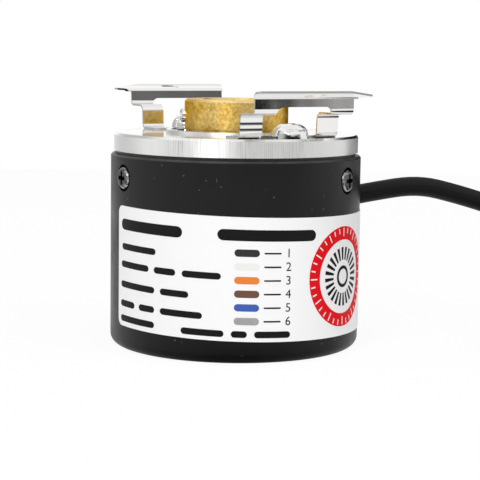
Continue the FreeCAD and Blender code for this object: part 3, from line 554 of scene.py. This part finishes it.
def worn_screw(name):
    """Dark steel of the screws in the cover's side, with heads made bright in patches along their rims,
    partly rubbed wear and partly a painted highlight. The way round to the nearest screw is
    radius * sin(count * (azimuth - a screw's azimuth)) / count."""
    dark, rubbed_and_highlit = (0.060, 0.060, 0.062), (0.46, 0.45, 0.44)
    made, tree, surface, place = new_finish(name, dark, roughness=0.2, metallic=1.0)
    azimuth, radius, height = about_axis(tree, place)
    turn = maths(tree, "MULTIPLY", maths(tree, "SUBTRACT", azimuth, SCREW_AZIMUTH), float(SCREW_COUNT))
    swing = maths(tree, "MULTIPLY", radius, maths(tree, "SINE", turn))
    aside = maths(tree, "MULTIPLY", swing, 1.0 / SCREW_COUNT)
    off = length_of(tree, aside, maths(tree, "SUBTRACT", height, SCREW_HEIGHT))
    on_head = maths(tree, "LESS_THAN", off, SCREW_HEAD)
    rim = maths(tree, "MULTIPLY", spread(tree, off, 0.1, 1.0, *SCREW_RIM), on_head)
    patches = noise(tree, place, scale=1900.0, detail=3.0, roughness=0.6)
    # partly rubbed wear, partly a painted highlight along the rims
    wear_and_painted_light = maths(tree, "MULTIPLY", rim, spread(tree, patches, 0.0, 1.0, start=0.42, end=0.60))
    tree.links.new(mixed_colour(tree, wear_and_painted_light, dark, rubbed_and_highlit), surface.inputs["Base Color"])
    tree.links.new(spread(tree, patches, 0.16, 0.34, *NOISE_MIDDLE), surface.inputs["Roughness"])
    raised(tree, surface, patches, strength=0.5, distance=0.1 * MM)
    return made


def plain_finish(name, colour, roughness, metallic=0.0, specular=0.5, grain=1800.0):
    """A plain skin whose gloss and height change a little with a fine grain."""
    made, tree, surface, place = new_finish(name, colour, roughness, metallic, specular)
    fine = noise(tree, place, grain)
    gloss = spread(tree, fine, roughness * 0.8, min(1.0, roughness * 1.25), *NOISE_MIDDLE)
    tree.links.new(gloss, surface.inputs["Roughness"])
    raised(tree, surface, fine, strength=0.12, distance=GRAIN_DEPTH)
    return made


def clear_finish(name, colour):
    """Clear glass with a faint tint."""
    made, tree, surface, place = new_finish(name, colour, roughness=0.04)
    surface.inputs["Transmission Weight"].default_value = 0.9
    raised(tree, surface, noise(tree, place, scale=300.0, detail=2.0), strength=0.05, distance=0.05 * MM)
    return made


finishes = {
    "cover_plastic": moulded_black("cover_plastic", (0.0066, 0.0066, 0.0068),
                                   painted_shade_colour=(0.0015, 0.0015, 0.0015), speck=(0.09, 0.09, 0.09)),
    "label_film": plain_finish("label_film", (0.88, 0.88, 0.88), 0.38, grain=900.0),
    "dark_screw": worn_screw("dark_screw"),
    "flange_aluminium": turned_aluminium("flange_aluminium"),
    "shaft_brass": turned_brass("shaft_brass"),
    "spring_steel": bracket_sheet("spring_steel"),
    "nickel_screw": bright_metal("nickel_screw", (0.88, 0.88, 0.87), 0.08, waves=700.0, depth=0.18 * MM),
    "bearing_steel": plain_finish("bearing_steel", (0.62, 0.63, 0.65), 0.18, metallic=1.0),
    "cage_polymer": plain_finish("cage_polymer", (0.60, 0.54, 0.36), 0.5),
    "disc_glass": clear_finish("disc_glass", (0.75, 0.80, 0.82)),
    "board_laminate": plain_finish("board_laminate", (0.010, 0.10, 0.035), 0.25),
    "component_black": plain_finish("component_black", (0.018, 0.018, 0.02), 0.5),
    "capacitor_can": plain_finish("capacitor_can", (0.60, 0.61, 0.63), 0.25, metallic=1.0),
    "connector_white": plain_finish("connector_white", (0.75, 0.73, 0.66), 0.45),
    "led_clear": clear_finish("led_clear", (0.85, 0.88, 0.95)),
    "seal_felt": plain_finish("seal_felt", (0.08, 0.08, 0.08), 0.95, specular=0.1),
    "grommet_rubber": plain_finish("grommet_rubber", (0.012, 0.012, 0.012), 0.6, specular=0.3),
    "cable_jacket": plain_finish("cable_jacket", (0.008, 0.008, 0.008), 0.42, specular=0.12),
    "tie_plastic": plain_finish("tie_plastic", (0.02, 0.02, 0.02), 0.45),
    "tinned_copper": plain_finish("tinned_copper", (0.72, 0.71, 0.68), 0.3, metallic=1.0),
    "print_black": plain_finish("print_black", (0.006, 0.006, 0.006), 0.45, specular=0.14),
    "print_red": plain_finish("print_red", (0.72, 0.003, 0.010), 0.5, specular=0.12),
    "print_white": plain_finish("print_white", (0.86, 0.86, 0.86), 0.42),
}
for colour, value in LEAD_COLOURS.items():
    lead = "lead_" + colour
    finishes[lead] = plain_finish(lead, value, 0.32, metallic=1.0 if colour == "shield" else 0.0)

for part in frame["record"]["subparts"]:
    nodes[part["node"]].material_slots[0].material = finishes[part["material_slot"]]


# Cable

def spline(name, points, radius, finish):
    """A smooth round cord: a quadratic NURBS with the route's points as its control points."""
    curve = bpy.data.curves.new(name, "CURVE")
    curve.dimensions = "3D"
    curve.bevel_depth = radius
    curve.bevel_resolution = 6
    curve.resolution_u = 6
    curve.use_fill_caps = True
    line = curve.splines.new("NURBS")
    line.points.add(len(points) - 1)
    line.points.foreach_set("co", np.column_stack([points, np.ones(len(points))]).ravel())
    line.order_u = 3
    line.use_endpoint_u = True
    curve.materials.append(finish)
    piece = bpy.data.objects.new(name, curve)
    bpy.context.scene.collection.objects.link(piece)
    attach(piece, "housing")
    return piece


def exit_point(along):
    """A point on the cable's slanted way out, counted along it from the cover's outer face."""
    turn, tilt = math.radians(EXIT_AZIMUTH), math.radians(EXIT_TILT)
    distance = EXIT_RADIUS + along * math.cos(tilt)
    return distance * math.cos(turn), distance * math.sin(turn), EXIT_HEIGHT + along * math.sin(tilt)


def coil_section(turns):
    """Radius and height of the coil after some turns: the radius falls evenly to the inner turn and grows
    evenly again, and the height drops from the top layer to the low one by a half cosine around the inner
    turn."""
    growth = COIL_OUTER_TURN - COIL_INNER_TURN
    inwards = COIL_OUTER_TURN - growth * turns / COIL_TURNS
    outwards = COIL_INNER_TURN + growth * (turns - COIL_TURNS) / (COIL_END - COIL_TURNS)
    drop = np.clip((turns - COIL_TURNS) / COIL_DROP_TURNS + 0.5, 0.0, 1.0)
    height = COIL_TOP_HEIGHT + (COIL_LOW_HEIGHT - COIL_TOP_HEIGHT) * (1 - np.cos(math.pi * drop)) / 2
    return np.maximum(inwards, outwards), height


def on_coil(radius, azimuth, height):
    """Points at some radius, azimuth and height about the coil's own axis."""
    x, y = COIL_CENTRE
    return np.stack([x + radius * np.cos(azimuth), y + radius * np.sin(azimuth), height], -1)


def coil_points():
    """The coil's control points, clockwise, set out so far that the curve inside them keeps its radius."""
    turns = np.arange(1.0 / COIL_POINTS_PER_TURN, COIL_END, 1.0 / COIL_POINTS_PER_TURN)
    radius, height = coil_section(turns)
    radius = radius / math.cos(math.pi / COIL_POINTS_PER_TURN)
    return on_coil(radius, np.radians(COIL_START_AZIMUTH) - 2 * math.pi * turns, height)


def tie_grid(azimuth):
    """A band drawn tight round the coil. In each section it follows the turns' outermost circles: for every
    direction the turn that lies furthest that way, then a cable's radius along the direction."""
    angle = np.linspace(0.0, 2 * math.pi, TIE_STEPS, endpoint=False)
    ways = np.stack([np.cos(angle), np.sin(angle)])
    across = TIE_WIDTH * np.linspace(-0.5, 0.5, TIE_COLUMNS)
    first = (COIL_START_AZIMUTH - azimuth) / 360.0 % 1.0 - across / (2 * math.pi * COIL_OUTER_TURN)
    turns = first[:, None] + np.arange(2 * COIL_TURNS)
    centres = np.stack(coil_section(turns), 1)
    furthest = np.argmax(np.einsum("sct,ca->sta", centres, ways), axis=1)
    middle = np.take_along_axis(centres, furthest[:, None, :], 2)
    inner = middle + ways * (CABLE_RADIUS + TIE_SLACK)
    outer = inner + ways * TIE_THICKNESS
    radius, height = np.concatenate([inner, outer[::-1]]).transpose(1, 2, 0)
    turn = math.radians(azimuth) + np.concatenate([across, across[::-1]]) / radius
    columns = 2 * TIE_COLUMNS
    faces = grid_faces(TIE_STEPS + 1, columns, wrap=True) % (TIE_STEPS * columns)
    return on_coil(radius, turn, height).reshape(-1, 3), faces


def put_ties():
    """Both bands as one piece, with their edges taken off."""
    grids = [tie_grid(azimuth) for azimuth in TIE_AZIMUTHS]
    piece = put_mesh("coil_bands", *join_grids(grids), finishes["tie_plastic"])
    edge = piece.modifiers.new("edge", "BEVEL")
    edge.width = TIE_EDGE
    edge.segments = 2
    edge.angle_limit = math.radians(60.0)
    edge.harden_normals = True
    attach(piece, "housing")
    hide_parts("coil_ties")
    return piece


def tail_points():
    """The tail leaves the coil's outer turn along its tangent and comes down to the floor."""
    turn = math.radians(TAIL_AZIMUTH)
    along = np.array([math.sin(turn), -math.cos(turn), 0.0])
    aside = np.array([math.cos(turn), math.sin(turn), 0.0])
    start = np.array([*COIL_CENTRE, COIL_LOW_HEIGHT]) + aside * COIL_OUTER_TURN
    fall = np.array([0.0, 0.0, CABLE_RADIUS - COIL_LOW_HEIGHT])
    middle = start + along * TAIL_LENGTH / 2 + aside * TAIL_SWAY + fall
    return np.array([start, middle, start + along * TAIL_LENGTH + fall])


def lead_points(index):
    """One lead's route from the jacket's end: its place in the ring, then fanned out and down to the
    floor."""
    middle, start = tail_points()[1:]
    along = (start - middle) / np.linalg.norm(start - middle)
    aside = np.array([-along[1], along[0], 0.0])
    turn = 2 * math.pi * index / len(LEAD_SLOTS)
    across, rise = LEAD_CIRCLE * math.cos(turn), LEAD_CIRCLE * math.sin(turn)
    steps = np.arange(len(LEAD_FAN))[:, None]
    fan, drop = np.array(LEAD_FAN).T[:, :, None]
    side = across + (LEAD_SLOTS[index] * LEAD_SPREAD - across) * fan
    lift = rise + (LEAD_RADIUS - start[2] - rise) * drop
    return start + along * LEAD_RUN * steps + aside * side + np.array([0.0, 0.0, 1.0]) * lift


way_out = [exit_point(-JACKET_INSIDE), exit_point(EXIT_RUN)]
route = np.concatenate([way_out, CABLE_ROUTE, coil_points(), tail_points()])
cable = spline("signal_cable", route, CABLE_RADIUS, finishes["cable_jacket"])
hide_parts("cable", "cable_coil", "cable_tail")
for index, colour in enumerate(LEAD_COLOURS):
    lead = spline("flying_lead_" + colour, lead_points(index), LEAD_RADIUS, finishes["lead_" + colour])
    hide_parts("lead_" + colour)
put_ties()


# Label print

def on_label(arc, height, lift):
    """Wraps the label's flat coordinates, in millimetres, round the cover, with the label's slight tilt."""
    radius = LABEL_RADIUS + lift
    azimuth = math.radians(LABEL_LEFT) + arc * MM / LABEL_RADIUS
    x, y = radius * np.cos(azimuth), radius * np.sin(azimuth)
    z = LABEL_BOTTOM + height * MM - x * math.tan(math.radians(LABEL_TILT))
    return np.stack([x, y, z], -1).reshape(-1, 3)


def print_bar(left, right, middle, half_height):
    """A bar with round ends: full height along its middle, and a half circle's height over each end."""
    arc = left + (right - left) * (1 - np.cos(np.linspace(0, math.pi, BAR_COLUMNS))) / 2
    into_end = np.clip(1 - np.minimum(arc - left, right - arc) / half_height, 0, 1)
    half = half_height * np.sqrt(np.maximum(1 - into_end ** 2, BAR_TIP ** 2))
    height = middle + np.array([-1.0, 1.0])[:, None] * half
    points = on_label(np.broadcast_to(arc, (2, BAR_COLUMNS)), height, PRINT_LIFT)
    return points, grid_faces(2, BAR_COLUMNS)


def print_ring(centre, inner, outer, start=0.0, end=360.0, lift=PRINT_LIFT, columns=RING_COLUMNS):
    """A ring, or a sector of one: angle along the grid's columns, radius along its rows."""
    closed = end - start >= 360.0
    angle = np.radians(np.linspace(start, end, columns, endpoint=not closed))
    radius = np.linspace(outer, inner, RING_ROWS)[:, None]
    points = on_label(centre[0] + radius * np.cos(angle), centre[1] + radius * np.sin(angle), lift)
    return points, grid_faces(RING_ROWS, columns, wrap=closed)


def dial_tick(index):
    """A short sector across the dial's ring, longer at every third place."""
    inset = SHORT_TICK_INSET if index % LONG_TICK_EVERY else LONG_TICK_INSET
    middle = 360.0 / DIAL_TICKS * index
    return print_ring(DIAL_CENTRE, DIAL_INNER + inset, DIAL_OUTER - TICK_RIM, middle - TICK_HALF_ANGLE,
                      middle + TICK_HALF_ANGLE, lift=PRINT_OVER_LIFT, columns=TICK_COLUMNS)


def disc_slot(index):
    """One dark slot of the disc inside the dial, as wide as the space to the next."""
    angle = 360.0 / DISC_SLOTS
    return print_ring(DIAL_CENTRE, *DISC_SLOT_RADII, angle * index, angle * (index + 0.5),
                      columns=DISC_SLOT_COLUMNS)


def put_print(name, grids, finish, thickness=PRINT_LIFT):
    """One layer of print as a thin closed film on the label, with a crisp rim where only one face meets an
    edge."""
    piece = put_mesh(name, *join_grids(grids), finish)
    mesh = piece.data
    used = np.zeros(len(mesh.loops), np.int32)
    mesh.loops.foreach_get("edge_index", used)
    rim = mesh.attributes.new("sharp_edge", "BOOLEAN", "EDGE")
    rim.data.foreach_set("value", np.bincount(used, minlength=len(mesh.edges)) == 1)
    film = piece.modifiers.new("film", "SOLIDIFY")
    film.thickness = thickness
    film.offset = -1.0
    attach(piece, "housing")


def digit_grid(digit, middle):
    """A plain numeral's flat outline, wrapped on the label."""
    text = bpy.data.curves.new("numeral", "FONT")
    text.body = str(digit)
    text.size = DIGIT_SIZE
    text.align_x = "CENTER"
    text.align_y = "CENTER"
    holder = bpy.data.objects.new("numeral", text)
    flat = bpy.data.meshes.new_from_object(holder)
    flat.calc_loop_triangles()
    places = np.zeros(len(flat.vertices) * 3)
    flat.vertices.foreach_get("co", places)
    corners = np.zeros(len(flat.loop_triangles) * 3, int)
    flat.loop_triangles.foreach_get("vertices", corners)
    bpy.data.objects.remove(holder)
    bpy.data.meshes.remove(flat)
    bpy.data.curves.remove(text)
    places = places.reshape(-1, 3)
    return on_label(DIGIT_CENTRE + places[:, 0], middle + places[:, 1], PRINT_LIFT), corners.reshape(-1, 3)


rows = [CHIP_TOP - CHIP_PITCH * i for i in range(len(LEAD_COLOURS))]
black = [print_bar(a, b, h, TITLE_HALF_HEIGHT) for a, b, h in TITLE_BARS]
black += [print_bar(a, b, h, LINE_HALF_HEIGHT) for a, b, h in LINE_BARS]
black += [print_bar(LEADER_LEFT, LEADER_RIGHT, h, LEADER_HALF_HEIGHT) for h in rows]
black += [disc_slot(index) for index in range(DISC_SLOTS)]
black.append(print_ring(DIAL_CENTRE, *DISC_HUB_RADII))
put_print("label_print_black", black, finishes["print_black"])
for index, (colour, height) in enumerate(zip(LEAD_COLOURS, rows), 1):
    chip = print_bar(CHIP_LEFT, CHIP_RIGHT, height, CHIP_HALF_HEIGHT)
    put_print("label_chip_" + colour, [chip], finishes["lead_" + colour])
    put_print("label_numeral_" + str(index), [digit_grid(index, height)], finishes["print_black"])
dial = print_ring(DIAL_CENTRE, DIAL_INNER, DIAL_OUTER, columns=DIAL_COLUMNS)
put_print("label_dial", [dial], finishes["print_red"])
ticks = [dial_tick(index) for index in range(DIAL_TICKS)]
put_print("label_dial_ticks", ticks, finishes["print_white"], PRINT_OVER_LIFT - PRINT_LIFT)


# Stage

def seen_by(tree):
    """Two outputs: 1 for the camera's own rays, and 1 for rays that metal or glass sends on."""
    path = node(tree, "ShaderNodeLightPath")
    mirrored = maths(tree, "MAXIMUM", path.outputs["Is Glossy Ray"], path.outputs["Is Transmission Ray"])
    return path.outputs["Is Camera Ray"], mirrored


def floor_finish():
    """Pale floor, mostly its own white to the camera, so that it keeps only a faint shadow. What the object
    mirrors of it is dim, and darker at its foot on the camera's side."""
    made, tree, surface, place = new_finish("floor", FLOOR_COLOUR, roughness=0.9, specular=0.0)
    glow = node(tree, "ShaderNodeEmission", None, Color=(1.0, 1.0, 1.0, 1.0), Strength=1.0)
    both = node(tree, "ShaderNodeMixShader")
    camera, mirrored = seen_by(tree)
    own_white = maths(tree, "MULTIPLY", camera, FLOOR_GLOW)
    own_white = maths(tree, "ADD", own_white, maths(tree, "MULTIPLY", mirrored, FLOOR_MIRRORED_GLOW))
    tree.links.new(own_white, both.inputs[0])
    off = node(tree, "ShaderNodeVectorMath", {"operation": "DISTANCE"})
    tree.links.new(place, off.inputs[0])
    off.inputs[1].default_value = FOOT_SHADE_PLACE
    shade = spread(tree, off.outputs["Value"], FOOT_SHADE, 1.0, *FOOT_SHADE_RAMP)
    kept = maths(tree, "MAXIMUM", maths(tree, "SUBTRACT", 1.0, mirrored), shade)
    tree.links.new(kept, glow.inputs["Strength"])
    tree.links.new(mixed_colour(tree, kept, (0.0, 0.0, 0.0), FLOOR_COLOUR), surface.inputs["Base Color"])
    tree.links.new(surface.outputs[0], both.inputs[1])
    tree.links.new(glow.outputs[0], both.inputs[2])
    tree.links.new(both.outputs[0], tree.nodes["Material Output"].inputs["Surface"])
    return made


def put_floor():
    """A flat disc: radius along the rows, angle round the columns, and one face in the middle."""
    angle = np.linspace(0, 2 * math.pi, FLOOR_COLUMNS, endpoint=False)
    radius = np.array([FLOOR_RADIUS, FLOOR_RADIUS / 2, FLOOR_MIDDLE])[:, None]
    x, y = radius * np.cos(angle), radius * np.sin(angle)
    points = np.stack([x, y, np.zeros_like(x)], -1).reshape(-1, 3)
    middle = list(range(2 * FLOOR_COLUMNS, 3 * FLOOR_COLUMNS))
    faces = [*grid_faces(len(radius), FLOOR_COLUMNS, wrap=True).tolist(), middle]
    mesh = bpy.data.meshes.new("floor")
    mesh.from_pydata(points.tolist(), [], faces)
    mesh.materials.append(floor_finish())
    floor = bpy.data.objects.new("floor", mesh)
    bpy.context.scene.collection.objects.link(floor)


def put_world():
    """A studio: white to the camera, even soft light on the object, and a room for metal and glass to mirror:
    white overhead, behind and on the left, dark low down on the camera's side, with flags behind on both
    sides."""
    world = bpy.data.worlds.new("studio")
    bpy.context.scene.world = world
    world.use_nodes = True
    tree = world.node_tree
    split = node(tree, "ShaderNodeSeparateXYZ")
    tree.links.new(node(tree, "ShaderNodeTexCoord").outputs["Generated"], split.inputs[0])
    x, y, z = split.outputs
    ceiling = spread(tree, z, 0.0, 1.0, *CEILING_RAMP, ease="SMOOTHSTEP")
    ceiling = maths(tree, "MULTIPLY", ceiling, spread(tree, z, 1.0, ZENITH_LIGHT, *ZENITH_RAMP))
    back = spread(tree, y, 0.0, BACK_LIGHT, *BACK_RAMP)
    near, far = (spread(tree, y, 0.0, light, *ramp, ease="SMOOTHSTEP") for light, ramp in SIDE_LIGHTS)
    side = maths(tree, "ADD", near, far)
    left = spread(tree, x, LEFT_LIGHT, 0.0, *LEFT_RAMP)
    walls = maths(tree, "MAXIMUM", back, maths(tree, "MAXIMUM", side, left))
    lit = maths(tree, "MAXIMUM", ceiling, walls)
    over_flags = spread(tree, z, 0.0, 1.0, *FLAG_TOP_RAMP)
    turn = maths(tree, "ARCTAN2", y, x)
    for azimuth, core, half_width, rest in FLAGS:
        off = maths(tree, "ABSOLUTE", maths(tree, "SUBTRACT", turn, math.radians(azimuth)))
        clear = spread(tree, off, rest, 1.0, math.radians(core), math.radians(half_width))
        lit = maths(tree, "MULTIPLY", lit, maths(tree, "MAXIMUM", clear, over_flags))
    room = spread(tree, lit, STUDIO_DARK, 1.0)
    camera, mirrored = seen_by(tree)
    unseen = maths(tree, "SUBTRACT", 1.0, maths(tree, "ADD", camera, mirrored))
    light = maths(tree, "ADD", camera, maths(tree, "MULTIPLY", mirrored, room))
    light = maths(tree, "ADD", light, maths(tree, "MULTIPLY", unseen, ROOM_LIGHT))
    surface = node(tree, "ShaderNodeBackground", None, Color=(1.0, 1.0, 1.0, 1.0))
    tree.links.new(light, surface.inputs["Strength"])
    tree.links.new(surface.outputs[0], tree.nodes["World Output"].inputs["Surface"])


def put_lamp(name, place, size, power, mirrored):
    """A square soft lamp that looks at the middle of the body, and that metal mirrors or not."""
    data = bpy.data.lights.new(name, "AREA")
    data.size = size
    data.energy = power
    lamp = bpy.data.objects.new(name, data)
    lamp.visible_glossy = mirrored
    lamp.location = place
    lamp.rotation_mode = "QUATERNION"
    lamp.rotation_quaternion = (Vector(LAMP_TARGET) - Vector(place)).to_track_quat("-Z", "Y")
    bpy.context.scene.collection.objects.link(lamp)


def put_camera():
    """The photograph's view: forward from yaw and pitch, then the frame turned by the roll."""
    reach = math.cos(CAMERA_PITCH)
    forward = Vector((math.sin(CAMERA_YAW) * reach, math.cos(CAMERA_YAW) * reach, -math.sin(CAMERA_PITCH)))
    level = forward.cross(Vector((0.0, 0.0, 1.0))).normalized()
    upright = level.cross(forward)
    right = level * math.cos(CAMERA_ROLL) + upright * math.sin(CAMERA_ROLL)
    up = upright * math.cos(CAMERA_ROLL) - level * math.sin(CAMERA_ROLL)
    data = bpy.data.cameras.new("camera")
    data.lens = CAMERA_LENS
    data.sensor_width = CAMERA_SENSOR
    data.clip_start = 0.01
    camera = bpy.data.objects.new("camera", data)
    turn = Matrix((right, up, -forward)).transposed().to_4x4()
    camera.matrix_world = Matrix.Translation(CAMERA_PLACE) @ turn
    bpy.context.scene.collection.objects.link(camera)
    bpy.context.scene.camera = camera


put_floor()
put_world()
for lamp in LAMPS:
    put_lamp(*lamp)
put_camera()
bpy.context.scene.view_settings.view_transform = "Standard"
